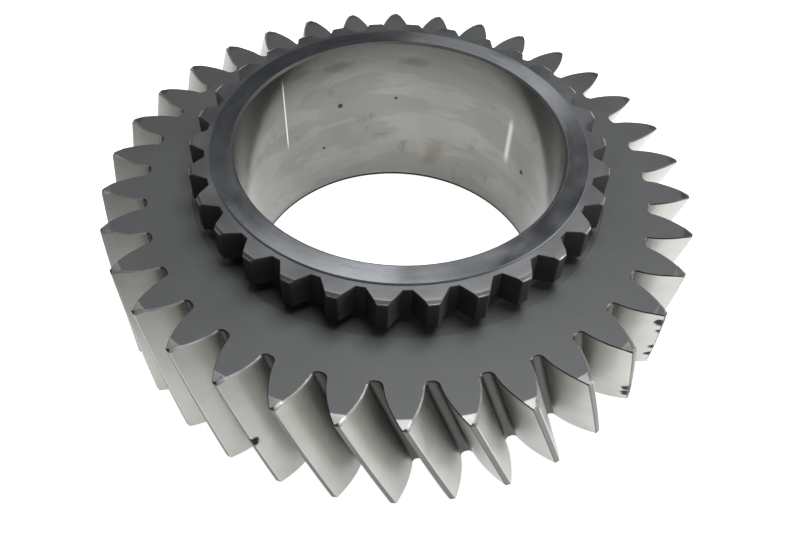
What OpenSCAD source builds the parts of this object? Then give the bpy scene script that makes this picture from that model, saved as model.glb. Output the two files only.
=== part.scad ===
// Helical transmission gear with a straight-toothed dog clutch ring.
// One steel forging, machined all over: toothed rim, flat web, plain bore,
// a thrust face at each end and a ring of clutch teeth on the top side.
// The axis is Z, the origin is on it, and the lower thrust face lies on Z = 0.

/* [Main teeth] */
// Number of teeth
tooth_count = 34; // [30:1:44]
// Module of the teeth, square to the helix
normal_module = 4.5; // [4:0.1:6]
// Pressure angle, square to the helix
pressure_angle = 21; // [18:0.5:23]
// Helix angle at the pitch circle, left hand
helix_angle = 19; // [0:1:30]
// Profile shift of the teeth, in modules
profile_shift = 0.07; // [0:0.01:0.1]
// Height of the teeth above the pitch circle, in modules
addendum_factor = 1.42; // [1:0.01:1.45]
// Depth of the teeth below the pitch circle, in modules
dedendum_factor = 1.49; // [1.2:0.01:1.6]
// Length of the teeth along the axis
face_width = 39.5; // [20:0.5:60]
// Radius at the foot of each flank
root_fillet = 1.5; // [0.4:0.1:2]

/* [Tooth ends] */
// Radial length of the chamfer on the tooth tips, top face
tip_chamfer = 2.7; // [0.5:0.1:3.5]
// Drop of the tip chamfer, top face
tip_chamfer_drop = 0.5; // [0.2:0.1:2]
// Edge break along the roots and flanks, both faces
edge_break = 0.35; // [0.1:0.05:0.5]
// Width of the edge break on the open side of each tooth at its tip, top face
open_edge_break = 0.9; // [0.2:0.05:0.9]
// Drop of that edge break
open_edge_drop = 0.4; // [0.1:0.1:0.8]

/* [Bore and thrust faces] */
// Diameter of the bore
bore_d = 95.4; // [70:0.1:104]
// Chamfer at both ends of the bore
bore_chamfer = 0.6; // [0.2:0.1:1]
// Outer diameter of the upper thrust face
upper_land_d = 108.8; // [100:0.1:111]
// Height of the upper thrust face above the clutch teeth
upper_land_height = 0.5; // [0.2:0.1:2]
// Chamfer around the upper thrust face
upper_land_chamfer = 0.3; // [0.1:0.1:0.5]
// Outer diameter of the lower thrust face
lower_hub_d = 118; // [106:0.5:134]
// Height of the lower thrust face below the teeth
lower_hub_height = 5.3; // [2:0.1:12]
// Chamfer around the lower hub
lower_hub_chamfer = 1; // [0.3:0.1:1.5]

/* [Clutch teeth] */
// Number of clutch teeth
clutch_teeth = 30; // [24:1:34]
// Turn of the clutch teeth about the axis
clutch_turn = 0.3; // [-6:0.1:6]
// Diameter over the clutch teeth
clutch_tip_d = 120.8; // [116:0.1:126]
// Diameter across the valleys of the clutch teeth
clutch_root_d = 111.8; // [109.6:0.1:116]
// Height of the clutch teeth above the web face
clutch_height = 13; // [8:0.5:24]
// Width of each clutch tooth at its tip
clutch_tip_w = 3.1; // [2:0.1:5]
// Width of each valley floor
clutch_valley_w = 2.5; // [1:0.1:4]
// Radial length of the chamfer over the clutch teeth
clutch_chamfer = 1.1; // [0.3:0.1:1.5]
// Drop of the chamfer over the clutch teeth
clutch_chamfer_drop = 0.75; // [0.2:0.05:1.5]
// Height of the tool run-out groove under the clutch teeth
groove_height = 3.2; // [1.5:0.1:5]
// Depth of the groove below the valley floors
groove_depth = 0.5; // [0.2:0.1:2]

/* [Web] */
// Depth of the turned ring around the clutch foot
web_ring_depth = 0.4; // [0.2:0.1:1.5]
// Width of the turned ring beyond the clutch teeth
web_ring_margin = 0.8; // [0.3:0.1:4]

/* [Detail] */
// Steps in each flank
flank_steps = 4; // [3:1:6]
// Steps in each root fillet
fillet_steps = 2; // [2:1:4]
// Steps along the helix
helix_steps = 4; // [2:1:8]

/* [Hidden] */
$fn = 180;

// How far one shape reaches into the next, so that they join
lap = 1;

// Involute of the transverse section
pitch_angle = 360 / tooth_count;
pitch_r = normal_module * tooth_count / 2 / cos(helix_angle);
transverse_angle = atan(tan(pressure_angle) / cos(helix_angle));
base_r = pitch_r * cos(transverse_angle);
tip_r = pitch_r + addendum_factor * normal_module;
root_r = pitch_r - dedendum_factor * normal_module;
twist = face_width * tan(helix_angle) / pitch_r * 180 / PI;

// Half of the angle that the profile shift adds to each tooth
shift_angle = profile_shift * normal_module * tan(pressure_angle) / cos(helix_angle) / pitch_r * 180 / PI;

// Heights along the axis
teeth_bottom = lower_hub_height;
web_z = teeth_bottom + face_width;
clutch_bottom = web_z + groove_height;
clutch_top = web_z + clutch_height;
land_top = clutch_top + upper_land_height;

// Radii of the hub
bore_r = bore_d / 2;
land_r = upper_land_d / 2;
hub_r = lower_hub_d / 2;
clutch_tip_r = clutch_tip_d / 2;
clutch_root_r = clutch_root_d / 2;
groove_r = clutch_root_r - groove_depth;
web_ring_r = clutch_tip_r + web_ring_margin;

// The web reaches inwards to the middle of the hub's wall
web_inner_r = (bore_r + groove_r) / 2;

// Involute function of an angle in degrees, as an angle in degrees
function involute(a) = tan(a) * 180 / PI - a;

// Half of the angle that a tooth takes up at radius r. Below the base circle its side is radial.
function half_tooth(r) =
    90 / tooth_count + shift_angle + involute(transverse_angle) - involute(acos(min(1, base_r / r)));

// Slope of the flank at radius r, measured from the middle line of the gap
function flank_slope(r) = acos(min(1, base_r / r)) + pitch_angle / 2 - half_tooth(r);

// Half width of the gap at radius r
function half_gap(r) = r * sin(pitch_angle / 2 - half_tooth(r));

// The root fillet is limited by the width of the gap
fillet_share = 0.95;
fillet_r = min(root_fillet, half_gap(root_r) * fillet_share);
fillet_centre_r = root_r + fillet_r;
fillet_slope = flank_slope(fillet_centre_r);
fillet_centre_x = half_gap(fillet_centre_r) - fillet_r / cos(fillet_slope);
flank_start_r = norm([
    fillet_centre_x + fillet_r * cos(fillet_slope),
    fillet_centre_r - fillet_r * sin(fillet_slope)
]);

// Half of one gap from its middle outwards, as [distance from the middle line, height on it]
fillet = [
    for (i = [0 : fillet_steps - 1])
        let (a = -90 + (90 - fillet_slope) * i / fillet_steps)
        [fillet_centre_x + fillet_r * cos(a), fillet_centre_r + fillet_r * sin(a)]
];

// Radii along each flank: even steps up to the foot of the tip chamfer, then the tip
chamfer_r = tip_r - tip_chamfer;
flank_radii = [
    for (i = [0 : flank_steps - 1]) flank_start_r + (chamfer_r - flank_start_r) * i / (flank_steps - 1),
    tip_r
];

// The wider edge break at the tip is limited by the width of the tooth there
tip_width = 2 * tip_r * sin(half_tooth(tip_r));
open_cut = min(open_edge_break, tip_width - 2 * edge_break);

// How much of the wider edge break shows at a radius. It dies out quickly towards the root.
function tip_share(r) = pow((r - flank_start_r) / (tip_r - flank_start_r), 3);

// One side of a tooth from root to tip, as [radius, angle from the middle of the tooth].
// It is set in by cut at the root, and by tip_cut at the tip.
function tooth_side(cut, tip_cut) = [
    for (p = fillet)
        let (r = norm(p), share = (r - root_r) / fillet_r)
        [r - cut, pitch_angle / 2 - atan(p[0] / p[1]) - share * cut / r * 180 / PI],
    for (r = flank_radii)
        let (inset = cut + (tip_cut - cut) * tip_share(r))
        [r, half_tooth(r) - inset / r * 180 / PI]
];

// Drop of each point of a side below the end face, from root to tip, with the cone of the tip
// chamfer where it has one
function side_drop(drop, tip_drop, cone_drop) = [
    for (p = fillet) drop,
    for (r = flank_radii)
        drop + (tip_drop - drop) * tip_share(r) + max(0, r - chamfer_r) / tip_chamfer * cone_drop
];

// A whole ring of teeth. Each side and its drop are given for the trailing and the leading flank.
// up is 1 where the ring's drop points down, and -1 where it points up.
function tooth_ring(trail, lead, trail_drop, lead_drop, z, up) =
    let (last = len(trail) - 1)
    [
        for (t = [0 : tooth_count - 1])
            let (middle = t * pitch_angle)
            each concat(
                [
                    for (i = [0 : last])
                        ring_point(trail[i][0], middle - trail[i][1], z - up * trail_drop[i])
                ],
                [
                    for (i = [last : -1 : 0])
                        ring_point(lead[i][0], middle + lead[i][1], z - up * lead_drop[i])
                ]
            )
    ];

// A point at a radius, an angle on the web face and a height, turned along the left-hand helix
function ring_point(r, a, z) =
    let (turned = a + (web_z - z) / face_width * twist)
    [r * cos(turned), r * sin(turned), z];

full_side = tooth_side(0, 0);
closed_side = tooth_side(edge_break, edge_break);
open_side = tooth_side(edge_break, open_cut);
no_drop = [for (p = full_side) 0];
cone = side_drop(0, 0, tip_chamfer_drop);
closed_drop = side_drop(edge_break, edge_break, tip_chamfer_drop);
open_drop = side_drop(edge_break, open_edge_drop, tip_chamfer_drop);
lower_drop = side_drop(edge_break, edge_break, 0);

// Rings of points from the upper end face down to the lower one
rings = [
    tooth_ring(closed_side, open_side, cone, cone, web_z, 1),
    tooth_ring(full_side, full_side, closed_drop, open_drop, web_z, 1),
    for (s = [1 : helix_steps - 1])
        tooth_ring(full_side, full_side, no_drop, no_drop, web_z - face_width * s / helix_steps, 1),
    tooth_ring(full_side, full_side, lower_drop, lower_drop, teeth_bottom, -1),
    tooth_ring(closed_side, closed_side, no_drop, no_drop, teeth_bottom, -1)
];

// The teeth and the web, as one closed skin: the rings of points, a flat face at each end
// and an inner wall, which lies inside the hub
module toothed_web() {
    per_tooth = len(rings[0]) / tooth_count;
    n = per_tooth * tooth_count;
    layers = len(rings);
    bottom = (layers - 1) * n;
    top_wall = layers * n;
    bottom_wall = top_wall + tooth_count;
    wall_points = [
        for (z = [web_z, teeth_bottom], t = [0 : tooth_count - 1])
            ring_point(web_inner_r, t * pitch_angle, z)
    ];
    tooth_faces = [
        for (k = [0 : layers - 2], i = [0 : n - 1])
            let (a = k * n + i, b = k * n + (i + 1) % n)
            each [[a, b, b + n], [a, b + n, a + n]]
    ];
    tip = per_tooth / 2 - 1;
    end_fans = [
        for (i = [0 : n - 1])
            let (j = (i + 1) % n, t = floor(i / per_tooth), q = i % per_tooth)
            if (q < tip - 1 || q > tip + 1)
                each [[top_wall + t, j, i], [bottom_wall + t, bottom + i, bottom + j]]
    ];
    tooth_ends = [
        for (t = [0 : tooth_count - 1])
            let (a = t * per_tooth + tip - 1, b = bottom + a)
            each [
                [top_wall + t, a + 3, a], [a, a + 3, a + 1], [a + 1, a + 3, a + 2],
                [bottom_wall + t, b, b + 3], [b, b + 1, b + 3], [b + 1, b + 2, b + 3]
            ]
    ];
    wall_faces = [
        for (t = [0 : tooth_count - 1])
            let (u = (t + 1) % tooth_count)
            each [
                [top_wall + u, u * per_tooth, top_wall + t],
                [bottom_wall + u, bottom_wall + t, bottom + u * per_tooth],
                [top_wall + t, bottom_wall + u, top_wall + u],
                [top_wall + t, bottom_wall + t, bottom_wall + u]
            ]
    ];
    polyhedron(
        points = concat([for (ring = rings) each ring], wall_points),
        faces = concat(tooth_faces, end_fans, tooth_ends, wall_faces),
        convexity = 10
    );
}

// Outline of the clutch ring: straight-sided teeth with flat tips and flat valley floors
clutch_tip_half = asin(clutch_tip_w / 2 / clutch_tip_r);
clutch_foot_half = 180 / clutch_teeth - asin(clutch_valley_w / 2 / clutch_root_r);
clutch_corners = [
    [clutch_root_r, -clutch_foot_half],
    [clutch_tip_r, -clutch_tip_half],
    [clutch_tip_r, clutch_tip_half],
    [clutch_root_r, clutch_foot_half]
];
clutch_outline = [
    for (t = [0 : clutch_teeth - 1], corner = clutch_corners)
        let (a = (t + 0.5) * 360 / clutch_teeth + clutch_turn + corner[1])
        corner[0] * [cos(a), sin(a)]
];

// Clutch teeth above the run-out groove, with one chamfer turned over all the tips
module clutch_ring() {
    inner_r = min(groove_r, land_r) - lap;
    chamfer_r = clutch_tip_r - clutch_chamfer;
    lap_drop = lap * clutch_chamfer_drop / clutch_chamfer;
    intersection() {
        translate([0, 0, clutch_bottom])
            linear_extrude(clutch_top - clutch_bottom)
                polygon(clutch_outline);
        rotate_extrude()
            polygon([
                [inner_r, clutch_bottom - lap],
                [clutch_tip_r + lap, clutch_bottom - lap],
                [clutch_tip_r + lap, clutch_top - clutch_chamfer_drop - lap_drop],
                [chamfer_r - lap, clutch_top + lap_drop],
                [inner_r, clutch_top + lap_drop]
            ]);
    }
}

// The shallow ring turned into the web face around the clutch foot
module web_ring() {
    translate([0, 0, web_z - web_ring_depth])
        cylinder(h = web_ring_depth + lap, r = web_ring_r);
}

// The hub: lower thrust face, neck under the clutch teeth, upper thrust face
// and the bore with a chamfer at each end
module turned_hub() {
    rotate_extrude()
        polygon([
            [bore_r + bore_chamfer, 0],
            [hub_r - lower_hub_chamfer, 0],
            [hub_r, lower_hub_chamfer],
            [hub_r, teeth_bottom + lap],
            [groove_r, teeth_bottom + lap],
            [groove_r, clutch_bottom + lap],
            [land_r, clutch_bottom + lap],
            [land_r, land_top - upper_land_chamfer],
            [land_r - upper_land_chamfer, land_top],
            [bore_r + bore_chamfer, land_top],
            [bore_r, land_top - bore_chamfer],
            [bore_r, bore_chamfer]
        ]);
}

module helical_gear() {
    color([0.55, 0.55, 0.53])
        union() {
            difference() {
                toothed_web();
                web_ring();
            }
            turned_hub();
            clutch_ring();
        }
}

helical_gear();
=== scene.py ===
"""A helical gear for a truck gearbox, with a ring of straight clutch teeth, on a pale studio floor.

Sizes are in millimetres and become metres when a mesh is written.
"""

import logging
import math
from dataclasses import dataclass, field
from enum import Enum
from functools import cache
from typing import Callable

import bpy
from mathutils import Matrix, Vector


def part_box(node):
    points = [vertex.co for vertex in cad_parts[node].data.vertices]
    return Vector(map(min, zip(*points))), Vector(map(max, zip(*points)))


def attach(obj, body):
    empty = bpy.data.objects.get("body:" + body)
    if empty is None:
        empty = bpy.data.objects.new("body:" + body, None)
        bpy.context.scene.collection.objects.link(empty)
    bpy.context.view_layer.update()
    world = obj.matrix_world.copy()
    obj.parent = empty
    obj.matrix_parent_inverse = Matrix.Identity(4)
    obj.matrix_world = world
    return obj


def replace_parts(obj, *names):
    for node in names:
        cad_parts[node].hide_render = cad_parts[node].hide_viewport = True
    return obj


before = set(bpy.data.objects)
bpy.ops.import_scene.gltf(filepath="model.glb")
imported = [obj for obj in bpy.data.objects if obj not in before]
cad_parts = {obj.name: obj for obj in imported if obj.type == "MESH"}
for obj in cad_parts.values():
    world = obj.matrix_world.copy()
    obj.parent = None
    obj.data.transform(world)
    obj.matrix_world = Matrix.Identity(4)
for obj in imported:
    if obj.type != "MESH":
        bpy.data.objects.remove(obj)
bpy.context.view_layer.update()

MM = 0.001
NODE = "helical_gear"
BODY = "root"
FINISH_ATTRIBUTE = "finish"

log = logging.getLogger("gear")

Point = tuple[float, float, float]
Colour = tuple[float, float, float]
Socket = bpy.types.NodeSocket
Side = list[tuple[float, float]]
Inputs = dict[int | str, object]


class Finish(Enum):
    """The machined surfaces of the gear, in the order that the meshes number them."""

    WEB = 0
    FLANK = 1
    TOPLAND = 2
    TIP_CHAMFER = 3
    EDGE = 4
    CLUTCH_TOP = 5
    CLUTCH_WALL = 6
    CLUTCH_CHAMFER = 7
    LAND = 8
    BORE = 9
    NECK = 10
    LOWER_HUB = 11
    ROOT = 12
    OPEN_EDGE = 13
    CLUTCH_HIGHLIGHT_LINE = 14
    RUN_OUT = 15
    BORE_RIM = 16
    CLUTCH_TIP_SHADED = 17
    RING_HIGHLIGHT = 18
    LAND_STEP = 19
    LOWER_RIM_SHADE = 20


class Grain(Enum):
    """How a surface's tool marks run: scales around, outward and along, detail, roughness and share."""

    NONE = None
    TURNED = ((0.5, 2400.0, 900.0), 3.0, 0.6, 0.65)
    GROUND_BORE = ((3.0, 60.0, 2600.0), 4.0, 0.7, 0.7)
    ALONG_TEETH = ((40.0, 1500.0, 40.0), 3.0, 0.6, 0.5)
    POLISHED = ((5.0, 300.0, 300.0), 3.0, 0.5, 1.0)


class NodeGraph:
    """A node tree, with short calls for the nodes that fill it."""

    def __init__(self, tree: bpy.types.NodeTree) -> None:
        """Empties the tree."""
        self.tree = tree
        self.tree.nodes.clear()

    def node(self, kind: str, given: Inputs | None = None, **settings: object) -> bpy.types.Node:
        """Adds a node, sets its properties and feeds its inputs.

        Args:
            kind: Blender's name for the node.
            given: Numbers or names of inputs, and their values.
            settings: Property names and values.

        Returns:
            The new node.
        """
        made = self.tree.nodes.new(kind)
        for key, value in settings.items():
            setattr(made, key, value)
        for key, value in (given or {}).items():
            self.feed(made.inputs[key], value)
        return made

    def feed(self, socket: Socket, value: object) -> None:
        """Links a socket to another one, or sets it to a number or colour.

        Args:
            socket: The input to fill.
            value: An output socket, a number or a tuple.
        """
        if isinstance(value, Socket):
            self.tree.links.new(value, socket)
        else:
            socket.default_value = value

    def math(self, operation: str, first: object, second: object = 0.0) -> Socket:
        """Returns the output of a Math node.

        Args:
            operation: The name of the operation.
            first: The first value.
            second: The second value.

        Returns:
            The result's socket.
        """
        return self.node("ShaderNodeMath", {0: first, 1: second}, operation=operation).outputs[0]

    def weighted(self, first: Socket, first_share: float, second: Socket, second_share: float) -> Socket:
        """Returns the sum of two values, each times its share.

        Args:
            first: The first value.
            first_share: Its share.
            second: The second value.
            second_share: Its share.

        Returns:
            The sum's socket.
        """
        first, second = self.math("MULTIPLY", first, first_share), self.math("MULTIPLY", second, second_share)
        return self.math("ADD", first, second)

    def split(self, vector: Socket) -> list[Socket]:
        """Returns the x, y and z of a vector.

        Args:
            vector: The vector's socket.

        Returns:
            The three sockets.
        """
        return list(self.node("ShaderNodeSeparateXYZ", {0: vector}).outputs)

    def ramp(self, value: Socket, stops: tuple[tuple[float, Colour], ...]) -> Socket:
        """Returns a colour that runs through several stops.

        Args:
            value: Where along the stops it stands, from 0 to 1.
            stops: The place and colour of each stop.

        Returns:
            The colour's socket.
        """
        made = self.node("ShaderNodeValToRGB", {0: value})
        elements = made.color_ramp.elements
        for place, _ in stops[1:-1]:
            elements.new(place)
        for element, (place, colour) in zip(elements, stops):
            element.position, element.color = place, (*colour, 1.0)
        return made.outputs[0]


class ShaderGraph(NodeGraph):
    """A material's node tree, with the patterns that the steel finishes use."""

    def __init__(self, name: str) -> None:
        """Makes an empty material that ends in one shader.

        Args:
            name: The material's name.
        """
        self.material = bpy.data.materials.new(name)
        self.material.use_nodes = True
        super().__init__(self.material.node_tree)
        self.shader = self.node("ShaderNodeBsdfPrincipled")
        self.node("ShaderNodeOutputMaterial", {"Surface": self.shader.outputs["BSDF"]})
        self.place = self.node("ShaderNodeTexCoord").outputs["Object"]

    def noise(self, place: object, scale: float, detail: float = 3.0, roughness: float = 0.5) -> Socket:
        """Returns a noise pattern from 0 to 1.

        Args:
            place: The coordinates that it reads.
            scale: How many features to a metre.
            detail: How many finer layers it has.
            roughness: How strong the finer layers are.

        Returns:
            The pattern's socket.
        """
        given = {"Vector": place, "Scale": scale, "Detail": detail, "Roughness": roughness}
        return self.node("ShaderNodeTexNoise", given).outputs["Fac"]

    def spread(self, value: object, low: float, high: float, to_low: float, to_high: float) -> Socket:
        """Returns a value moved smoothly from one range to another, and held at its ends.

        Args:
            value: The value to move.
            low: The start of its range.
            high: The end of its range.
            to_low: The result at the start.
            to_high: The result at the end.

        Returns:
            The result's socket.
        """
        given = dict(enumerate((value, low, high, to_low, to_high)))
        return self.node("ShaderNodeMapRange", given, interpolation_type="SMOOTHSTEP").outputs["Result"]

    def blend(self, share: object, first: object, second: object) -> Socket:
        """Returns a mix of two colours.

        Args:
            share: How much of the second colour shows.
            first: The first colour.
            second: The second colour.

        Returns:
            The colour's socket.
        """
        given = {"Factor": share}
        for key, colour in ((6, first), (7, second)):
            given[key] = colour if isinstance(colour, Socket) else (*colour, 1.0)
        return self.node("ShaderNodeMix", given, data_type="RGBA").outputs[2]

    def length(self, vector: Socket, scale: Point) -> Socket:
        """Returns the length of a vector.

        Args:
            vector: The vector's socket.
            scale: How much of it counts along each axis.

        Returns:
            The length's socket.
        """
        scaled = self.node("ShaderNodeVectorMath", {0: vector, 1: scale}, operation="MULTIPLY")
        return self.node("ShaderNodeVectorMath", {0: scaled.outputs[0]}, operation="LENGTH").outputs["Value"]

    def radius(self) -> Socket:
        """Returns the distance from the gear's axis, in metres."""
        return self.length(self.place, (1.0, 1.0, 0.0))

    def round_place(self, around: float, outward: float, along: float) -> Socket:
        """Returns coordinates that follow the gear: around the axis, away from it and along it.

        Args:
            around: Scale around the axis.
            outward: Scale away from the axis.
            along: Scale along the axis.

        Returns:
            The coordinates' socket.
        """
        x, y, z = self.split(self.place)
        radius = self.radius()
        swing = self.math("DIVIDE", around, radius)
        given = {0: self.math("MULTIPLY", x, swing), 1: self.math("MULTIPLY", y, swing)}
        given[2] = self.weighted(radius, outward, z, along)
        return self.node("ShaderNodeCombineXYZ", given).outputs[0]

    def bump(self, height: object, distance: float) -> None:
        """Adds small relief to the shader.

        Args:
            height: The pattern of the relief.
            distance: Its depth in metres.
        """
        made = self.node("ShaderNodeBump", {"Height": height, "Distance": distance, "Strength": 1.0})
        self.feed(self.shader.inputs["Normal"], made.outputs["Normal"])


@dataclass(frozen=True)
class HighlightStreak:
    """A straight painted highlight that stands in for a lamp's reflection along the bore, and fades at both
    ends.
    """

    degrees: float
    half_width: float
    low: float
    high: float
    strength: float
    fade: float = 6.0

    def share(self, graph: ShaderGraph) -> Socket:
        """Returns how much of the painted highlight shows at each place, from 0 to 1.

        Args:
            graph: The material's graph.

        Returns:
            The share's socket.
        """
        x, y, z = graph.split(graph.place)
        sine, cosine = math.sin(math.radians(self.degrees)), math.cos(math.radians(self.degrees))
        across = graph.weighted(x, -sine, y, cosine)
        near = graph.spread(graph.math("ABSOLUTE", across), 0.0, self.half_width * MM, self.strength, 0.0)
        same_side = graph.math("GREATER_THAN", graph.weighted(x, cosine, y, sine), 0.0)
        above = graph.spread(z, self.low * MM, (self.low + self.fade) * MM, 0.0, 1.0)
        below = graph.spread(z, (self.high - self.fade) * MM, self.high * MM, 1.0, 0.0)
        stretch = graph.math("MULTIPLY", above, below)
        return graph.math("MULTIPLY", graph.math("MULTIPLY", near, same_side), stretch)


PIT: Colour = (0.012, 0.012, 0.012)


@dataclass(frozen=True)
class Spot:
    """A dark, rough nick, or a stain where the colour is another one, with a ragged edge."""

    RAGGEDNESS = 1.4
    NICK_EDGE = (1.3, 1.8)
    STAIN_EDGE = (1.1, 1.9)

    place: Point
    radius: float
    strength: float = 0.9
    colour: Colour = PIT
    flatness: float = 1.0

    def share(self, graph: ShaderGraph) -> Socket:
        """Returns how much of the spot shows at each place, from 0 to 1.

        Args:
            graph: The material's graph.

        Returns:
            The share's socket.
        """
        centre = tuple(c * MM for c in self.place)
        offset = graph.node("ShaderNodeVectorMath", {0: graph.place, 1: centre}, operation="SUBTRACT")
        gap = graph.length(offset.outputs[0], (1.0, 1.0, self.flatness))
        size = self.radius * MM
        ragged = graph.noise(graph.place, self.RAGGEDNESS / size, 4.0, 0.65)
        reach = graph.weighted(gap, 1.0, ragged, self.RAGGEDNESS * size)
        inner, outer = self.NICK_EDGE if self.colour == PIT else self.STAIN_EDGE
        return graph.spread(reach, inner * size, outer * size, self.strength, 0.0)


TOOTH_NICKS = (
    Spot((74.7, -45.0, 39.7), 2.9, 0.97),
    Spot((76.0, -42.8, 33.2), 1.5, 0.97),
    Spot((78.2, -38.7, 20.3), 2.0, 0.97),
    Spot((79.2, -36.5, 13.9), 2.2, 0.97),
    Spot((70.7, -51.0, 16.2), 2.5, 0.97),
    Spot((71.6, -49.8, 11.6), 2.8, 0.97),
    Spot((-30.3, -81.9, 23.1), 1.7, 0.97),
)
BROWN: Colour = (0.11, 0.10, 0.065)
SMUDGE: Colour = (0.06, 0.06, 0.055)
# colour towards the tooth roots: unground steel and painted shade
UNGROUND_AND_SHADE: Colour = (0.05, 0.05, 0.048)
# colour of the painted highlight streaks, lamp reflections painted on the bore
HIGHLIGHT_WHITE: Colour = (0.8, 0.8, 0.78)
BORE_MARKS = (
    Spot((-23.2, 41.7, 35.4), 1.0, 0.75),
    Spot((-4.4, 47.5, 36.0), 0.65, 0.7),
    Spot((40.0, 25.9, 25.6), 1.0, 0.75),
    Spot((-28.9, 37.9, 19.2), 0.6, 0.7),
    Spot((9.8, 46.7, 14.4), 4.0, 0.42, BROWN, 0.8),
    Spot((8.7, 46.9, 8.6), 3.0, 0.35, BROWN),
    Spot((-23.5, 41.5, 51.6), 6.0, 0.5, SMUDGE, 2.6),
    Spot((1.9, 47.7, 51.3), 6.0, 0.45, SMUDGE, 3.0),
    Spot((-34.3, 33.2, 53.5), 4.0, 0.4, SMUDGE, 2.2),
)


@dataclass(frozen=True)
class Steel:
    """One finish of the steel: its colour, how it varies, its sheen and its tool marks."""

    PATTERN_RANGE = (0.3, 0.7)
    STAIN_RANGE = (0.56, 0.72)
    BAND_RANGE = (0.47, 0.54)
    RIM_WANDER = 12.0
    ROOT_WANDER = 1.5

    name: str
    dark: Colour
    light: Colour
    sheen: tuple[float, float]
    grain: Grain = Grain.NONE
    mottle: float = 60.0
    relief: float = 0.00002
    stain: float = 0.0
    root_shade: tuple[float, float] | None = None
    metallic: float = 1.0
    highlight_streaks: tuple[HighlightStreak, ...] = ()
    rim_shade: tuple[float, float, float] | None = None
    spots: tuple[Spot, ...] = ()

    def marks(self, graph: ShaderGraph) -> Socket:
        """Returns the pattern of the tool marks.

        Args:
            graph: The material's graph.

        Returns:
            A pattern from 0 to 1.
        """
        fine = graph.noise(graph.place, 2600.0, 2.0)
        if self.grain is Grain.NONE:
            return fine
        scales, detail, roughness, share = self.grain.value
        tool = graph.noise(graph.round_place(*scales), 1.0, detail, roughness)
        return graph.weighted(tool, share, fine, 1.0 - share)

    def darker(self, share: float) -> Colour:
        """Returns the finish's dark colour at a share of its strength."""
        return tuple(share * c for c in self.dark)

    def material(self) -> bpy.types.Material:
        """Builds the finish: mottled colour, then stains, shades, painted highlight streaks and spots over
        it.

        Returns:
            The finish as a material.
        """
        graph = ShaderGraph(self.name)
        marks = self.marks(graph)
        patches = graph.noise(graph.place, self.mottle, 5.0, 0.55)
        share = graph.spread(graph.weighted(patches, 0.75, marks, 0.25), *self.PATTERN_RANGE, 0.0, 1.0)
        colour = graph.blend(share, self.dark, self.light)
        if self.stain > 0.0:
            spots = graph.noise(graph.place, self.mottle * 2.3, 6.0, 0.7)
            stains = graph.spread(spots, *self.STAIN_RANGE, 0.0, self.stain)
            colour = graph.blend(stains, colour, self.darker(0.55))
        if self.grain is Grain.GROUND_BORE:
            bands = graph.noise(graph.round_place(1.1, 0.0, 100.0), 1.0, 4.0, 0.55)
            colour = graph.blend(graph.spread(bands, *self.BAND_RANGE, 0.0, 0.3), colour, self.darker(0.72))
        if self.rim_shade:
            low, high, strength = self.rim_shade
            height = graph.weighted(graph.split(graph.place)[2], 1.0, patches, self.RIM_WANDER * MM)
            shade = graph.spread(height, low * MM, high * MM, 0.0, strength)
            colour = graph.blend(shade, colour, self.darker(0.45))
        # darker towards the tooth roots: partly the unground finish, partly painted shade in the crease
        # between the teeth
        if self.root_shade:
            depth = graph.weighted(graph.radius(), 1.0, patches, self.ROOT_WANDER * MM)
            low, high = (r * MM for r in self.root_shade)
            colour = graph.blend(graph.spread(depth, low, high, 0.7, 0.0), colour, UNGROUND_AND_SHADE)
        # painted highlights: bright streaks that stand in for lamps' reflections in the bore
        for highlight in self.highlight_streaks:
            colour = graph.blend(highlight.share(graph), colour, HIGHLIGHT_WHITE)
        roughness = graph.spread(graph.weighted(patches, 0.5, marks, 0.5), *self.PATTERN_RANGE, *self.sheen)
        metallic = self.metallic
        for spot in self.spots:
            share = spot.share(graph)
            colour = graph.blend(share, colour, spot.colour)
            if spot.colour == PIT:
                metallic = graph.math("MULTIPLY", metallic, graph.math("SUBTRACT", 1.0, share))
                roughness = graph.math("MAXIMUM", roughness, graph.math("MULTIPLY", share, 0.95))
        graph.feed(graph.shader.inputs["Base Color"], colour)
        graph.feed(graph.shader.inputs["Metallic"], metallic)
        graph.feed(graph.shader.inputs["Roughness"], roughness)
        graph.bump(marks, self.relief)
        return graph.material


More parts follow.
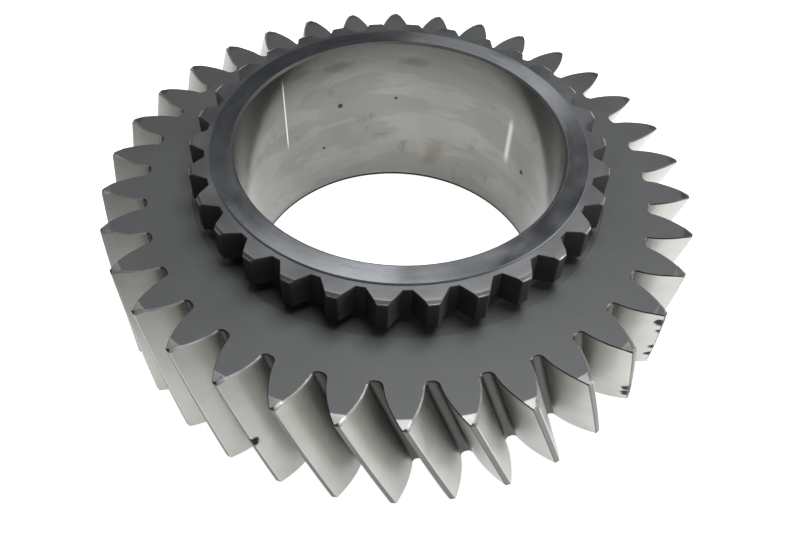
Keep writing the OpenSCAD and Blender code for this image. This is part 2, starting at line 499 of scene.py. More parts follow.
FINISHES: dict[Finish, Steel] = {
    Finish.WEB: Steel(
        "turned_web", (0.0535, 0.056, 0.0567), (0.068, 0.0705, 0.0717), (0.50, 0.62), Grain.TURNED, 45.0,
        metallic=0.38,
    ),
    Finish.RUN_OUT: Steel(
        "run_out_ring", (0.049, 0.0515, 0.053), (0.063, 0.065, 0.0675), (0.46, 0.58), Grain.TURNED, 60.0,
        metallic=0.38,
    ),
    # painted highlight: a lighter, smoother band just outside the sunk ring's edge, where the edge catches
    # light
    Finish.RING_HIGHLIGHT: Steel(
        "ring_edge_highlight", (0.060, 0.062, 0.064), (0.080, 0.082, 0.084), (0.44, 0.54), mottle=50.0,
        metallic=0.38,
    ),
    Finish.FLANK: Steel(
        "ground_flank", (0.36, 0.356, 0.335), (0.46, 0.455, 0.432), (0.32, 0.44), Grain.ALONG_TEETH, 70.0,
        root_shade=(74.2, 78.1), spots=TOOTH_NICKS,
    ),
    # dark root fillets and trailing tip bevels: partly an unground finish, partly painted shade in the roots
    # and along the trailing edges
    Finish.ROOT: Steel(
        "unground_root_and_shade", (0.06, 0.06, 0.058), (0.10, 0.10, 0.097), (0.40, 0.55), mottle=90.0,
    ),
    Finish.TOPLAND: Steel(
        "turned_topland", (0.10, 0.10, 0.098), (0.15, 0.15, 0.147), (0.36, 0.48), Grain.TURNED, 80.0,
        spots=TOOTH_NICKS,
    ),
    Finish.TIP_CHAMFER: Steel(
        "tip_chamfer", (0.095, 0.095, 0.093), (0.17, 0.17, 0.167), (0.32, 0.42), Grain.TURNED, 260.0,
        metallic=0.85,
    ),
    Finish.OPEN_EDGE: Steel(
        "open_edge_break", (0.22, 0.22, 0.217), (0.38, 0.38, 0.374), (0.29, 0.39), mottle=260.0,
        metallic=0.7,
    ),
    Finish.EDGE: Steel(
        "broken_edge", (0.04, 0.04, 0.04), (0.09, 0.09, 0.088), (0.34, 0.46), Grain.NONE, 120.0,
        spots=TOOTH_NICKS,
    ),
    Finish.CLUTCH_TOP: Steel(
        "clutch_top", (0.105, 0.106, 0.109), (0.142, 0.144, 0.147), (0.38, 0.50), Grain.TURNED, 70.0,
    ),
    Finish.LAND_STEP: Steel(
        "land_step", (0.074, 0.075, 0.077), (0.10, 0.101, 0.103), (0.4, 0.5), mottle=70.0, metallic=0.3,
    ),
    Finish.CLUTCH_WALL: Steel(
        "clutch_wall", (0.027, 0.028, 0.029), (0.040, 0.041, 0.043), (0.46, 0.6), mottle=90.0, metallic=0.4,
    ),
    # painted shade: the outer faces of the clutch teeth get a darker copy of the wall finish
    Finish.CLUTCH_TIP_SHADED: Steel(
        "shaded_clutch_tip_face", (0.018, 0.018, 0.019), (0.027, 0.027, 0.028), (0.5, 0.62), mottle=90.0,
        metallic=0.5,
    ),
    Finish.CLUTCH_CHAMFER: Steel(
        "clutch_chamfer", (0.12, 0.12, 0.123), (0.17, 0.17, 0.173), (0.38, 0.50), Grain.TURNED,
    ),
    # painted highlight: a thin bright strip where the clutch teeth's chamfer starts
    Finish.CLUTCH_HIGHLIGHT_LINE: Steel(
        "clutch_edge_highlight", (0.42, 0.42, 0.42), (0.68, 0.68, 0.68), (0.26, 0.40), mottle=320.0,
    ),
    Finish.LAND: Steel(
        "ground_land", (0.37, 0.385, 0.405), (0.58, 0.595, 0.61), (0.10, 0.19), Grain.POLISHED, 38.0,
        relief=0.000015,
    ),
    Finish.BORE: Steel(
        "ground_bore", (0.155, 0.153, 0.144), (0.222, 0.220, 0.208), (0.10, 0.20), Grain.GROUND_BORE, 34.0,
        stain=0.6, rim_shade=(46.0, 64.0, 0.6), spots=BORE_MARKS,
        # two painted highlights, lamp reflections painted on the bore wall
        highlight_streaks=(HighlightStreak(145.3, 0.45, 26.0, 57.0, 0.9), HighlightStreak(43.0, 1.6, 22.0, 44.0, 0.4)),
    ),
    Finish.BORE_RIM: Steel(
        "bore_rim", (0.05, 0.05, 0.051), (0.08, 0.08, 0.082), (0.40, 0.55), metallic=0.6,
    ),
    # painted shade: a near-black band on the bore wall just above the lower chamfer, standing in for the
    # shaded lower rim
    Finish.LOWER_RIM_SHADE: Steel("lower_rim_shade", (0.008, 0.008, 0.008), (0.014, 0.014, 0.014), (0.5, 0.6)),
    Finish.NECK: Steel(
        "groove_neck", (0.030, 0.030, 0.031), (0.045, 0.045, 0.047), (0.45, 0.6), Grain.TURNED,
        metallic=0.5,
    ),
    Finish.LOWER_HUB: Steel(
        "lower_hub", (0.16, 0.16, 0.16), (0.22, 0.22, 0.218), (0.26, 0.40), Grain.TURNED, 40.0,
    ),
}


@cache
def material_of(finish: Finish) -> bpy.types.Material:
    """Returns the material of a finish, made at its first use."""
    return FINISHES[finish].material()


@dataclass
class MeshDraft:
    """Points and faces of one repeated stretch of the gear, each face with its finish."""

    points: list[Point] = field(default_factory=list)
    faces: list[tuple[int, ...]] = field(default_factory=list)
    finishes: list[int] = field(default_factory=list)

    def row(self, points: list[Point]) -> list[int]:
        """Adds points and returns their numbers.

        Args:
            points: Places in millimetres.

        Returns:
            The number of each point.
        """
        start = len(self.points)
        self.points.extend(points)
        return list(range(start, len(self.points)))

    def strip(self, first: list[int], second: list[int], finishes: list[Finish]) -> None:
        """Joins two rows of points by a strip of four-sided faces.

        Args:
            first: The row on the left of the strip, seen from outside and going along it.
            second: The row on its right.
            finishes: One finish for each face, or a single one for all.
        """
        for i in range(len(first) - 1):
            self.faces.append((first[i], second[i], second[i + 1], first[i + 1]))
            self.finishes.append(finishes[min(i, len(finishes) - 1)].value)

    def mesh(self, name: str) -> bpy.types.Mesh:
        """Returns the draft as a mesh in metres, with its finishes as a face attribute.

        Args:
            name: The mesh's name.

        Returns:
            The new mesh.
        """
        made = bpy.data.meshes.new(name)
        made.from_pydata([tuple(c * MM for c in p) for p in self.points], [], self.faces)
        numbers = made.attributes.new(FINISH_ATTRIBUTE, "INT", "FACE")
        numbers.data.foreach_set("value", self.finishes)
        made.update()
        return made


@dataclass
class PolarPattern:
    """Repeats one stretch around the axis, turned along a helix, and dresses its faces."""

    name: str
    count: int
    start_degrees: float = 0.0
    helix_degrees: float = 0.0
    helix_top: float = 0.0
    helix_depth: float = 1.0

    INPUTS = ("Count", "Start angle", "Helix turn", "Helix top", "Helix depth")
    JOIN_GAP = 0.002
    SHARP_ANGLE = 24.0

    def tree(self, finishes: list[Finish]) -> bpy.types.NodeTree:
        """Builds the node tree: twist, repeat, join and dress.

        Args:
            finishes: The finishes of the faces.

        Returns:
            The tree.
        """
        tree = bpy.data.node_groups.new(self.name + "_pattern", "GeometryNodeTree")
        tree.interface.new_socket("Geometry", in_out="INPUT", socket_type="NodeSocketGeometry")
        for label in self.INPUTS:
            kind = "NodeSocketInt" if label == "Count" else "NodeSocketFloat"
            tree.interface.new_socket(label, in_out="INPUT", socket_type=kind)
        tree.interface.new_socket("Geometry", in_out="OUTPUT", socket_type="NodeSocketGeometry")
        graph = NodeGraph(tree)
        source, result = graph.node("NodeGroupInput"), graph.node("NodeGroupOutput")
        count, start, turn, top, depth = (source.outputs[label] for label in self.INPUTS)

        place = graph.node("GeometryNodeInputPosition").outputs[0]
        below = graph.math("SUBTRACT", top, graph.split(place)[2])
        given = {"Vector": place, "Angle": graph.math("MULTIPLY", graph.math("DIVIDE", below, depth), turn)}
        rotate = graph.node("ShaderNodeVectorRotate", given, rotation_type="Z_AXIS")
        given = {"Geometry": source.outputs["Geometry"], "Position": rotate.outputs[0]}
        twist = graph.node("GeometryNodeSetPosition", given)

        spots = graph.node("GeometryNodePoints", {"Count": count})
        step = graph.math("DIVIDE", 2 * math.pi, count)
        angle = graph.math("MULTIPLY", graph.node("GeometryNodeInputIndex").outputs[0], step)
        swing = graph.node("ShaderNodeCombineXYZ", {2: graph.math("ADD", angle, start)})
        given = {"Points": spots.outputs[0], "Instance": twist.outputs[0], "Rotation": swing.outputs[0]}
        repeat = graph.node("GeometryNodeInstanceOnPoints", given)
        real = graph.node("GeometryNodeRealizeInstances", {0: repeat.outputs[0]})
        given = {"Geometry": real.outputs[0], "Distance": self.JOIN_GAP * MM}
        last = graph.node("GeometryNodeMergeByDistance", given).outputs[0]

        number = graph.node("GeometryNodeInputNamedAttribute", {"Name": FINISH_ATTRIBUTE}, data_type="INT")
        for finish in finishes:
            given = {2: number.outputs["Attribute"], 3: finish.value}
            same = graph.node("FunctionNodeCompare", given, data_type="INT", operation="EQUAL")
            given = {"Geometry": last, "Selection": same.outputs[0], "Material": material_of(finish)}
            last = graph.node("GeometryNodeSetMaterial", given).outputs[0]
        graph.feed(result.inputs[0], last)
        return tree

    def piece(self, draft: MeshDraft) -> bpy.types.Object:
        """Returns the whole ring as one plain mesh object.

        Args:
            draft: The stretch that repeats.

        Returns:
            The finished object, at the origin.
        """
        source = bpy.data.objects.new(self.name + "_stretch", draft.mesh(self.name + "_stretch"))
        bpy.context.scene.collection.objects.link(source)
        modifier = source.modifiers.new("pattern", "NODES")
        modifier.node_group = self.tree([Finish(number) for number in sorted(set(draft.finishes))])
        angles = [math.radians(a) for a in (self.start_degrees, self.helix_degrees)]
        given = dict(zip(self.INPUTS, (self.count, *angles, self.helix_top * MM, self.helix_depth * MM)))
        for item in modifier.node_group.interface.items_tree:
            if item.in_out == "INPUT" and item.name in given:
                modifier[item.identifier] = given[item.name]
        bpy.context.view_layer.update()
        evaluated = source.evaluated_get(bpy.context.evaluated_depsgraph_get())
        whole = bpy.data.meshes.new_from_object(evaluated)
        source.modifiers.remove(modifier)
        bpy.data.objects.remove(source)
        whole.shade_smooth()
        whole.set_sharp_from_angle(angle=math.radians(self.SHARP_ANGLE))
        made = bpy.data.objects.new(self.name, whole)
        bpy.context.scene.collection.objects.link(made)
        return made


def polar(radius: float, degrees: float, height: float) -> Point:
    """Returns a point from its radius, angle and height.

    Args:
        radius: Distance from the axis.
        degrees: Angle about the axis.
        height: Height along it.

    Returns:
        The point.
    """
    angle = math.radians(degrees)
    return radius * math.cos(angle), radius * math.sin(angle), height


@dataclass
class Heights:
    """Heights of the gear's faces above the lower thrust face, and its outer radius."""

    lower_hub: float = 5.3
    face_width: float = 39.5
    clutch: float = 13.0
    groove: float = 3.2
    total: float = 58.3
    tip_radius: float = 87.3

    @classmethod
    def of_frame(cls) -> "Heights":
        """Returns the heights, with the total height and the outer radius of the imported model."""
        low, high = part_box(NODE)
        return cls(total=(high.z - low.z) / MM, tip_radius=(high.x - low.x) / 2 / MM)

    @property
    def web(self) -> float:
        """Height of the web face."""
        return self.lower_hub + self.face_width

    @property
    def clutch_top(self) -> float:
        """Height of the clutch teeth."""
        return self.web + self.clutch


@dataclass(kw_only=True)
class ToothedRing:
    """One tooth with its share of the ring behind it, as rows across the tooth and slices down it.

    A side of the tooth is a list of (radius, half angle in degrees) from the middle of the gap to the tip.
    """

    SLACK = 0.02
    THIN_LINE = 0.3
    LINE_REACH = (0.2, 0.6)

    top: float
    bottom: float
    inner_rows: Side
    chamfer_start: float
    chamfer_slope: float
    edge_break: float
    open_break: tuple[float, float]
    lower_break: float
    tip_bevel: float
    columns: int
    slices: int
    face_finish: Finish
    inner_finish: Finish
    ring_finish: Finish
    chamfer_finish: Finish
    line_finish: Finish
    open_finish: Finish
    bevel_finishes: tuple[Finish, Finish]
    side_finish: Finish
    root_finish: Finish
    root_faces: int
    tip_finish: Finish
    edge_finish: Finish
    tip_edge_finish: Finish
    lower_finish: Finish

    def side(self) -> Side:
        """Returns one side of the tooth."""
        raise NotImplementedError

    def cone(self, radius: float) -> float:
        """Height of the upper end face at a radius, with its turned chamfer."""
        return self.top - max(0.0, radius - self.chamfer_start) * self.chamfer_slope

    def end_finish(self, start: float, end: float) -> Finish:
        """Chooses the finish of the upper end face between two radii.

        Args:
            start: The inner radius.
            end: The outer radius.

        Returns:
            The finish.
        """
        if end > self.chamfer_start + self.SLACK:
            return self.line_finish if end - start < self.THIN_LINE else self.chamfer_finish
        past_ring = end - self.inner_rows[1][0]
        if past_ring <= self.LINE_REACH[0]:
            return self.inner_finish
        return self.ring_finish if past_ring <= self.LINE_REACH[1] else self.face_finish

    def with_bevel(self) -> Side:
        """Breaks the side's corner at the tip.

        Returns:
            The side, with one more point.
        """
        side = self.side()
        radius, half = side[-1]
        previous_radius, previous_half = side[-2]
        share = self.tip_bevel / (radius - previous_radius)
        eased = (radius - self.tip_bevel, half + (previous_half - half) * share)
        narrow = (radius, half - math.degrees(self.tip_bevel / radius))
        return side[:-1] + [eased, narrow]

    def insets(self, side: Side, sign: int, cuts: list[float]) -> Side:
        """Returns a side moved into the tooth, as points across it.

        Args:
            side: The side.
            sign: 1 for the leading side and -1 for the trailing one.
            cuts: How far each point moves.

        Returns:
            Points as (x, y) on the end face.
        """
        flat = [polar(r, sign * a, 0.0)[:2] for r, a in side]
        moved = []
        for i, (x, y) in enumerate(flat):
            before, after = flat[max(i - 1, 0)], flat[min(i + 1, len(flat) - 1)]
            along = (after[0] - before[0], after[1] - before[1])
            size = math.hypot(*along) or 1.0
            inward = (along[1] * sign / size, -along[0] * sign / size)
            moved.append((x + inward[0] * cuts[i], y + inward[1] * cuts[i]))
        return moved

    def breaks(self, side: Side, at_tip: float) -> list[float]:
        """Sizes the edge break along a side, which changes quickly to its size at the tip.

        Args:
            side: The side.
            at_tip: The edge break at the tip.

        Returns:
            The edge break at each point.
        """
        low, high = side[0][0], side[-1][0]
        growth = at_tip - self.edge_break
        return [self.edge_break + growth * ((r - low) / (high - low)) ** 4 for r, _ in side]

    def draft(self) -> MeshDraft:
        """Builds the end faces, then the wall of the tooth with its edge breaks.

        Returns:
            The tooth and its share of the ring.
        """
        made = MeshDraft()
        side = self.with_bevel()
        pitch_half = side[0][1]
        columns = self.columns

        def arc(radius: float, half: float, height: float) -> list[int]:
            """Adds a row of points across the stretch."""
            return made.row([polar(radius, half * (2 * c / columns - 1), height) for c in range(columns + 1)])

        def across(left: Side, right: Side,
                   height: Callable[[float], float]) -> list[list[int]]:
            """Adds the rows across the tooth between the two sides.

            Args:
                left: The trailing side's points.
                right: The leading side's points.
                height: The height of the end face at a radius.

            Returns:
                The point numbers of each row.
            """
            rows = []
            for (x0, y0), (x1, y1) in zip(left, right):
                points = []
                r0, r1 = math.hypot(x0, y0), math.hypot(x1, y1)
                a0, a1 = math.atan2(y0, x0), math.atan2(y1, x1)
                for c in range(columns + 1):
                    share = c / columns
                    radius, angle = r0 + (r1 - r0) * share, a0 + (a1 - a0) * share
                    points.append((radius * math.cos(angle), radius * math.sin(angle), height(radius)))
                rows.append(made.row(points))
            return rows

        trail_cuts = self.breaks(side, self.edge_break)
        lead_cuts = self.breaks(side, self.open_break[0])
        lead_drops = self.breaks(side, self.open_break[1])
        top_tooth = across(self.insets(side, -1, trail_cuts), self.insets(side, 1, lead_cuts), self.cone)
        low_cuts = [self.lower_break] * len(side)
        trail_low, lead_low = (self.insets(side, sign, low_cuts) for sign in (-1, 1))
        low_tooth = across(trail_low, lead_low, lambda r: self.bottom)
        top_inner = [arc(radius, pitch_half, height) for radius, height in self.inner_rows]
        low_inner = [arc(radius, pitch_half, self.bottom) for radius, _ in self.inner_rows]

        for first, second in zip(top_inner + top_tooth[:-1], (top_inner + top_tooth)[1:]):
            start, end = (math.hypot(*made.points[row[columns // 2]][:2]) for row in (first, second))
            made.strip(first, second, [self.end_finish(start, end)])
        for first, second in zip(low_inner + low_tooth[:-1], (low_inner + low_tooth)[1:]):
            made.strip(second, first, [self.lower_finish])
        made.strip(low_inner[0], top_inner[0], [self.lower_finish])

        def around(rows: list[list[int]]) -> list[int]:
            """The tooth's outline in a set of rows, from the trailing gap over the tip to the leading gap."""
            return [row[0] for row in rows[:-1]] + rows[-1] + [row[-1] for row in rows[-2::-1]]

        tip_half = side[-1][1]
        sides = [(r, -a) for r, a in side[:-1]]
        sides += [(side[-1][0], tip_half * (2 * c / columns - 1)) for c in range(columns + 1)]
        sides += [(r, a) for r, a in side[-2::-1]]
        drops = trail_cuts[:-1]
        growth = lead_drops[-1] - trail_cuts[-1]
        drops += [trail_cuts[-1] + growth * c / columns for c in range(columns + 1)]
        drops += lead_drops[-2::-1]
        last = len(side) - 1
        low = [self.root_finish] * self.root_faces + [self.side_finish] * (last - 1 - self.root_faces)
        trail_bevel, lead_bevel = self.bevel_finishes
        wall = low + [trail_bevel] + [self.tip_finish] * columns + [lead_bevel] + low[::-1]
        open_edge = [self.edge_finish] * last + [self.tip_edge_finish] * columns
        open_edge += [self.open_finish] * (last - self.root_faces) + [self.edge_finish]

        upper = [self.cone(r) - drop for (r, _), drop in zip(sides, drops)]
        rows = [around(top_tooth)]
        for s in range(self.slices + 1):
            share = s / self.slices
            lower = self.bottom + self.lower_break
            rows.append(made.row([polar(r, a, z + (lower - z) * share) for (r, a), z in zip(sides, upper)]))
        rows.append(around(low_tooth))
        for index, (first, second) in enumerate(zip(rows, rows[1:])):
            dress = {0: open_edge, len(rows) - 2: [self.edge_finish]}.get(index, wall)
            made.strip(first, second, dress)
        return made


@dataclass(kw_only=True)
class HelicalRim(ToothedRing):
    """The helical teeth and the web that carries them."""

    tip_radius: float
    tooth_count: int = 34
    normal_module: float = 4.5
    pressure_angle: float = 21.0
    profile_shift: float = 0.07
    helix_angle: float = 19.0
    dedendum_factor: float = 1.49
    root_fillet: float = 1.5
    fillet_share: float = 0.95
    fillet_steps: int = 6
    flank_steps: int = 12
    edge_break: float = 0.3
    open_break: tuple[float, float] = (0.9, 0.4)
    lower_break: float = 0.3
    tip_bevel: float = 0.2
    columns: int = 6
    slices: int = 14
    face_finish: Finish = Finish.WEB
    inner_finish: Finish = Finish.RUN_OUT
    # the band just past the sunk ring is a painted highlight
    ring_finish: Finish = Finish.RING_HIGHLIGHT
    chamfer_finish: Finish = Finish.TIP_CHAMFER
    line_finish: Finish = Finish.TIP_CHAMFER
    open_finish: Finish = Finish.OPEN_EDGE
    # the trailing tip bevel takes the dark root finish, a painted shade line along the trailing edge
    bevel_finishes: tuple[Finish, Finish] = (Finish.ROOT, Finish.FLANK)
    side_finish: Finish = Finish.FLANK
    root_finish: Finish = Finish.ROOT
    root_faces: int = fillet_steps
    tip_finish: Finish = Finish.TOPLAND
    edge_finish: Finish = Finish.EDGE
    tip_edge_finish: Finish = Finish.TOPLAND
    lower_finish: Finish = Finish.WEB

    @property
    def pitch_radius(self) -> float:
        """Radius of the pitch circle."""
        return self.normal_module * self.tooth_count / 2 / math.cos(math.radians(self.helix_angle))

    @property
    def transverse_angle(self) -> float:
        """Pressure angle on the end face, in radians."""
        pressure, helix = math.radians(self.pressure_angle), math.radians(self.helix_angle)
        return math.atan(math.tan(pressure) / math.cos(helix))

    @property
    def root_radius(self) -> float:
        """Radius at the foot of the teeth."""
        return self.pitch_radius - self.dedendum_factor * self.normal_module

    @property
    def twist(self) -> float:
        """Turn of the teeth over the face width, in degrees."""
        depth = self.top - self.bottom
        return math.degrees(depth * math.tan(math.radians(self.helix_angle)) / self.pitch_radius)

    def slope(self, radius: float) -> float:
        """Angle of the involute at a radius against the radial line, in radians."""
        return math.acos(min(1.0, self.pitch_radius * math.cos(self.transverse_angle) / radius))

    def half_tooth(self, radius: float) -> float:
        """Measures the tooth's width at a radius.

        Args:
            radius: The radius.

        Returns:
            Half of the angle that the tooth takes up, in degrees.
        """
        pitch, here = self.transverse_angle, self.slope(radius)
        opening = (math.tan(pitch) - pitch) - (math.tan(here) - here)
        shift = self.profile_shift * self.normal_module * math.tan(self.transverse_angle)
        return 90 / self.tooth_count + math.degrees(opening + shift / self.pitch_radius)

    def half_gap(self, radius: float) -> float:
        """Half of the width of the gap at a radius."""
        return radius * math.sin(math.radians(180 / self.tooth_count - self.half_tooth(radius)))

    def side(self) -> Side:
        """Draws the root fillet and the involute flank.

        Returns:
            The side, with one point at the start of the tip chamfer.
        """
        fillet = min(self.root_fillet, self.half_gap(self.root_radius) * self.fillet_share)
        centre = self.root_radius + fillet
        slope = self.slope(centre) + math.radians(180 / self.tooth_count - self.half_tooth(centre))
        aside = self.half_gap(centre) - fillet / math.cos(slope)
        points = []
        for i in range(self.fillet_steps + 1):
            angle = -math.pi / 2 + (math.pi / 2 - slope) * i / self.fillet_steps
            across, out = aside + fillet * math.cos(angle), centre + fillet * math.sin(angle)
            half = 180 / self.tooth_count - math.degrees(math.atan2(across, out))
            points.append((math.hypot(across, out), half))
        points.insert(0, (self.root_radius, 180 / self.tooth_count))
        start = points[-1][0]
        rise = self.tip_radius - start
        steps = [start + rise * i / self.flank_steps for i in range(1, self.flank_steps + 1)]
        nearest = min(range(len(steps)), key=lambda i: abs(steps[i] - self.chamfer_start))
        steps[nearest] = self.chamfer_start
        return points + [(radius, self.half_tooth(radius)) for radius in steps]


@dataclass(kw_only=True)
class ClutchRing(ToothedRing):
    """The straight clutch teeth above the run-out groove."""

    tooth_count: int = 30
    tip_radius: float = 60.4
    root_radius: float = 55.9
    tip_width: float = 3.1
    valley_width: float = 2.5
    line_width: float = 0.12
    side_steps: int = 3
    edge_break: float = 0.15
    open_break: tuple[float, float] = (0.15, 0.15)
    lower_break: float = 0.15
    tip_bevel: float = 0.2
    columns: int = 6
    slices: int = 4
    face_finish: Finish = Finish.CLUTCH_TOP
    inner_finish: Finish = Finish.CLUTCH_TOP
    ring_finish: Finish = Finish.CLUTCH_TOP
    chamfer_finish: Finish = Finish.CLUTCH_CHAMFER
    # the thin line at the chamfer's start carries a painted highlight
    line_finish: Finish = Finish.CLUTCH_HIGHLIGHT_LINE
    open_finish: Finish = Finish.CLUTCH_WALL
    bevel_finishes: tuple[Finish, Finish] = (Finish.CLUTCH_WALL, Finish.CLUTCH_WALL)
    side_finish: Finish = Finish.CLUTCH_WALL
    root_finish: Finish = Finish.CLUTCH_WALL
    root_faces: int = 0
    # the outer faces of the clutch teeth carry painted shade
    tip_finish: Finish = Finish.CLUTCH_TIP_SHADED
    edge_finish: Finish = Finish.CLUTCH_WALL
    tip_edge_finish: Finish = Finish.CLUTCH_CHAMFER
    lower_finish: Finish = Finish.CLUTCH_WALL

    def side(self) -> Side:
        """Draws half of the flat valley floor and the straight side.

        Returns:
            The side, with a thin line at the start of the chamfer, where a painted highlight goes.
        """
        half_valley = math.asin(self.valley_width / 2 / self.root_radius)
        pitch_half = 180 / self.tooth_count
        floor = self.root_radius * math.cos(half_valley)
        foot = pitch_half - math.degrees(half_valley)
        tip = math.degrees(math.asin(self.tip_width / 2 / self.tip_radius))
        start, end = polar(self.root_radius, foot, 0.0), polar(self.tip_radius, tip, 0.0)
        points = [(floor, pitch_half)]
        reach = (self.chamfer_start - self.root_radius) / (self.tip_radius - self.root_radius)
        shares = [reach * i / self.side_steps for i in range(self.side_steps + 1)]
        shares += [reach + self.line_width / (self.tip_radius - self.root_radius), 1.0]
        for share in shares:
            x, y = (start[k] + (end[k] - start[k]) * share for k in range(2))
            points.append((math.hypot(x, y), math.degrees(math.atan2(y, x))))
        return points


@dataclass
class Hub:
    """The turned middle of the gear: bore, thrust faces, lower hub and neck."""

    heights: Heights
    bore_radius: float
    neck_radius: float
    bore_chamfer: float = 0.6
    land_radius: float = 54.4
    land_chamfer: float = 0.3
    lower_radius: float = 59.0
    lower_chamfer: float = 1.0
    lap: float = 1.0
    rim_line: float = 0.2
    lower_line: float = 0.8
    stretches: int = 60
    columns: int = 4

    def outline(self) -> list[tuple[float, float, Finish]]:
        """Draws the section from the upper rim of the bore outwards.

        Returns:
            The radius and height of each corner, and the finish that follows it.
        """
        h = self.heights
        hidden = h.lower_hub + self.lap
        return [
            (self.bore_radius, h.total - self.bore_chamfer, Finish.BORE_RIM),
            (self.bore_radius + self.bore_chamfer, h.total, Finish.BORE_RIM),
            (self.bore_radius + self.bore_chamfer + self.rim_line, h.total, Finish.LAND),
            (self.land_radius - self.land_chamfer, h.total, Finish.LAND_STEP),
            (self.land_radius, h.total - self.land_chamfer, Finish.LAND_STEP),
            (self.land_radius, h.web + h.groove + self.lap, Finish.NECK),
            (self.neck_radius, h.web + h.groove + self.lap, Finish.NECK),
            (self.neck_radius, hidden, Finish.NECK),
            (self.lower_radius, hidden, Finish.LOWER_HUB),
            (self.lower_radius, self.lower_chamfer, Finish.EDGE),
            (self.lower_radius - self.lower_chamfer, 0.0, Finish.LOWER_HUB),
            (self.bore_radius + self.bore_chamfer, 0.0, Finish.BORE_RIM),
            # a painted shade band at the lower rim of the bore
            (self.bore_radius, self.bore_chamfer, Finish.LOWER_RIM_SHADE),
            (self.bore_radius, self.bore_chamfer + self.lower_line, Finish.BORE),
        ]

    def draft(self) -> MeshDraft:
        """Turns the section over one stretch.

        Returns:
            The stretch.
        """
        made = MeshDraft()
        outline = self.outline()
        half = 180 / self.stretches
        rows = []
        for radius, height, _ in outline:
            angles = [half * (2 * c / self.columns - 1) for c in range(self.columns + 1)]
            rows.append(made.row([polar(radius, angle, height) for angle in angles]))
        for i, (_, _, finish) in enumerate(outline):
            made.strip(rows[i], rows[(i + 1) % len(rows)], [finish])
        return made


@dataclass
class Gear:
    """The whole gear, as three turned and toothed pieces that share one axis."""

    heights: Heights
    bore_radius: float = 47.7
    neck_radius: float = 55.4
    web_ring_radius: float = 61.2
    web_ring_depth: float = 0.4
    web_ring_edge: float = 0.1
    web_rows: tuple[float, ...] = (0.35, 3.0, 8.0)
    tip_chamfer: float = 2.7
    tip_chamfer_drop: float = 0.5
    clutch_laps: tuple[float, ...] = (2.0, 0.5)
    clutch_chamfer: float = 1.1
    clutch_chamfer_drop: float = 0.75
    clutch_turn: float = 0.3

    def rim(self) -> bpy.types.Object:
        """Builds the helical teeth and the web.

        Returns:
            The rim.
        """
        h = self.heights
        inner = (self.bore_radius + self.neck_radius) / 2
        ring, sunk = self.web_ring_radius, h.web - self.web_ring_depth
        rows = [(inner, sunk), (ring - self.web_ring_edge, sunk), (ring, h.web)]
        rows += [(ring + out, h.web) for out in self.web_rows]
        rim = HelicalRim(
            top=h.web,
            bottom=h.lower_hub,
            inner_rows=rows,
            tip_radius=h.tip_radius,
            chamfer_start=h.tip_radius - self.tip_chamfer,
            chamfer_slope=self.tip_chamfer_drop / self.tip_chamfer,
        )
        pattern = PolarPattern("helical_rim", rim.tooth_count, 0.0, rim.twist, rim.top, h.face_width)
        return pattern.piece(rim.draft())

    def clutch(self) -> bpy.types.Object:
        """Builds the ring of clutch teeth.

        Returns:
            The ring.
        """
        h = self.heights
        ring = ClutchRing(
            top=h.clutch_top,
            bottom=h.web + h.groove,
            inner_rows=[(self.neck_radius - lap, h.clutch_top) for lap in self.clutch_laps],
            chamfer_start=ClutchRing.tip_radius - self.clutch_chamfer,
            chamfer_slope=self.clutch_chamfer_drop / self.clutch_chamfer,
        )
        start = 180 / ring.tooth_count + self.clutch_turn
        return PolarPattern("clutch_ring", ring.tooth_count, start).piece(ring.draft())

    def hub(self) -> bpy.types.Object:
        """Returns the turned hub."""
        hub = Hub(self.heights, self.bore_radius, self.neck_radius)
        return PolarPattern("turned_hub", hub.stretches).piece(hub.draft())

    def build(self) -> list[bpy.types.Object]:
        """Builds the pieces, which stand for the CAD gear and ride on its body.

        Returns:
            The pieces.
        """
        pieces = [self.rim(), self.clutch(), self.hub()]
        for piece in pieces:
            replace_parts(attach(piece, BODY), NODE)
            low, high = piece.bound_box[0], piece.bound_box[6]
            log.info("%s: %d faces, z %.4f to %.4f m", piece.name, len(piece.data.polygons), low[2], high[2])
        return pieces


@dataclass(frozen=True)
class Softbox:
    """A rectangular studio light that faces a point on the gear."""

    name: str
    place: Point
    size: tuple[float, float]
    power: float
    colour: Colour = (1.0, 1.0, 1.0)
    target: Point = (0.0, 0.0, 0.04)

    def build(self) -> bpy.types.Object:
        """Hangs the light and turns it to its target.

        Returns:
            The light.
        """
        data = bpy.data.lights.new(self.name, "AREA")
        data.shape = "RECTANGLE"
        data.size, data.size_y = self.size
        data.energy = self.power
        data.color = self.colour
        made = bpy.data.objects.new(self.name, data)
        made.location = self.place
        made.rotation_euler = (Vector(self.target) - Vector(self.place)).to_track_quat("-Z", "Y").to_euler()
        bpy.context.scene.collection.objects.link(made)
        return made


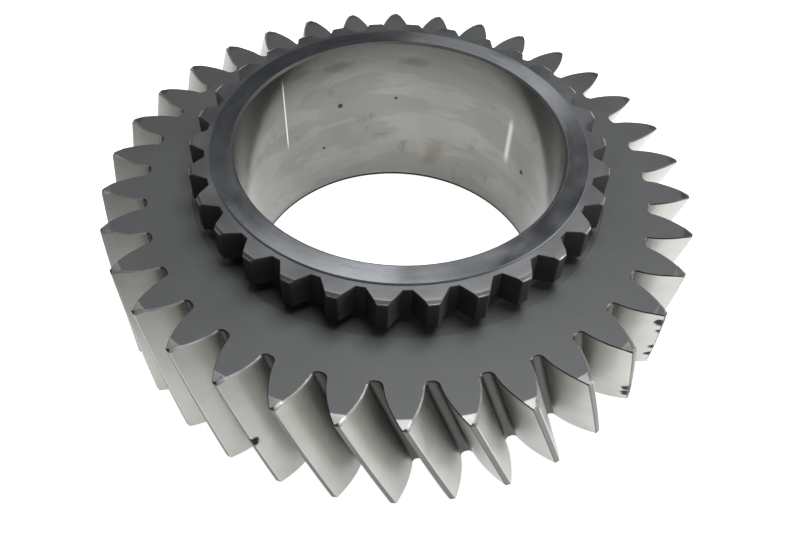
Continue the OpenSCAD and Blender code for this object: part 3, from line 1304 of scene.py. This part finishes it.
@dataclass
class Camera:
    """The camera, as fitted to the photograph."""

    place: Point = (0.0091, -0.1821, 0.2134)
    turn_degrees: float = -2.303
    dip_degrees: float = 49.791
    roll_degrees: float = 2.723
    lens: float = 36.81
    sensor: float = 36.0

    def build(self) -> bpy.types.Object:
        """Sets up the scene's camera.

        Returns:
            The camera.
        """
        turn, dip, roll = (math.radians(v) for v in (self.turn_degrees, self.dip_degrees, self.roll_degrees))
        forward = Vector((math.sin(turn) * math.cos(dip), math.cos(turn) * math.cos(dip), -math.sin(dip)))
        level = forward.cross(Vector((0, 0, 1))).normalized()
        upright = level.cross(forward)
        right = level * math.cos(roll) + upright * math.sin(roll)
        up = upright * math.cos(roll) - level * math.sin(roll)
        data = bpy.data.cameras.new("camera")
        data.lens, data.sensor_width, data.sensor_fit = self.lens, self.sensor, "HORIZONTAL"
        data.clip_start, data.clip_end = 0.01, 20.0
        made = bpy.data.objects.new("camera", data)
        facing = Matrix((right, up, -forward)).transposed().to_4x4()
        made.matrix_world = Matrix.Translation(self.place) @ facing
        bpy.context.scene.collection.objects.link(made)
        bpy.context.scene.camera = made
        return made


HALF: Colour = (0.5, 0.5, 0.5)
FULL: Colour = (1.0, 1.0, 1.0)


@dataclass
class Studio:
    """The pale floor, the soft lights and the air around them."""

    floor_radius: float = 3.0
    floor_glow: float = 0.95
    front_dim: tuple[float, float] = (-0.21, -0.107)
    left_dim: tuple[float, float] = (0.129, 0.20)
    left_direction: tuple[float, float] = (-0.93, -0.369)
    dimmed: tuple[float, float] = (0.3, 0.12)
    sky: tuple[tuple[float, Colour], ...] = ((0.0, (0.7, 0.7, 0.7)), (0.4, (0.15, 0.157, 0.165)))
    levels: tuple[tuple[float, Colour], ...] = ((0.15, HALF), (0.5, FULL), (0.88, HALF))
    softboxes: tuple[Softbox, ...] = (
        Softbox("overhead", (0.13, 0.08, 0.75), (0.50, 0.40), 6.8),
        Softbox("right", (0.85, -0.10, 0.25), (0.5, 0.4), 5.4, target=(0.05, 0.0, 0.03)),
        Softbox("left strip", (-0.43, 0.27, 0.67), (0.14, 0.34), 0.8),
        Softbox("window", (-0.100, 0.516, 0.817), (0.166, 0.133), 0.058),
        Softbox("window glow", (-0.092, 0.549, 0.791), (0.42, 0.17), 0.068),
        Softbox("far window", (0.084, 0.81, 0.63), (0.24, 0.08), 0.042),
        Softbox("far glow", (0.19, 0.74, 0.64), (0.20, 0.10), 0.003),
    )

    def floor(self) -> bpy.types.Object:
        """Lays the floor, a pale light table that dims out of the camera's view.

        Returns:
            The floor.
        """
        draft = bpy.data.meshes.new("floor")
        r = self.floor_radius
        steps = [2 * math.pi * i / 64 for i in range(64)]
        draft.from_pydata([(r * math.cos(a), r * math.sin(a), 0.0) for a in steps], [], [tuple(range(64))])
        made = bpy.data.objects.new("floor", draft)
        bpy.context.scene.collection.objects.link(made)
        graph = ShaderGraph("pale_floor")
        x, y, _ = graph.split(graph.place)
        front = graph.spread(y, *self.front_dim, 0.0, 1.0)
        glow = graph.spread(y, *self.front_dim, self.dimmed[0] * self.floor_glow, self.floor_glow)
        left = graph.weighted(x, self.left_direction[0], y, self.left_direction[1])
        side = graph.spread(left, *self.left_dim, 1.0, self.dimmed[1])
        share = graph.math("MULTIPLY", front, side)
        graph.feed(graph.shader.inputs["Base Color"], graph.blend(share, (0.12, 0.12, 0.12), (0.5, 0.5, 0.5)))
        graph.feed(graph.shader.inputs["Roughness"], 0.9)
        graph.feed(graph.shader.inputs["Emission Color"], (1.0, 1.0, 1.0, 1.0))
        graph.feed(graph.shader.inputs["Emission Strength"], graph.math("MULTIPLY", glow, side))
        draft.materials.append(graph.material)
        return made

    def air(self) -> None:
        """Sets the world: pale at the horizon, dim above, and dimmer in front and behind."""
        world = bpy.data.worlds.new("studio_air")
        bpy.context.scene.world = world
        world.use_nodes = True
        graph = NodeGraph(world.node_tree)
        _, y, z = graph.split(graph.node("ShaderNodeTexCoord").outputs["Generated"])
        across = graph.node("ShaderNodeMapRange", {"Value": y, "From Min": -1.0}).outputs["Result"]
        given = {"Color": graph.ramp(z, self.sky), "Strength": graph.ramp(across, self.levels)}
        shade = graph.node("ShaderNodeBackground", given)
        graph.node("ShaderNodeOutputWorld", {"Surface": shade.outputs[0]})

    def build(self) -> None:
        """Builds the floor, the lights, the world and the camera."""
        self.floor()
        self.air()
        for box in self.softboxes:
            box.build()
            log.info("light %s", box.name)
        Camera().build()
        bpy.context.scene.view_settings.view_transform = "Standard"


def main() -> None:
    """Builds the studio and the gear."""
    logging.basicConfig(level=logging.INFO, format="%(name)s: %(message)s")
    Studio().build()
    Gear(Heights.of_frame()).build()


if __name__ == "__main__":
    main()
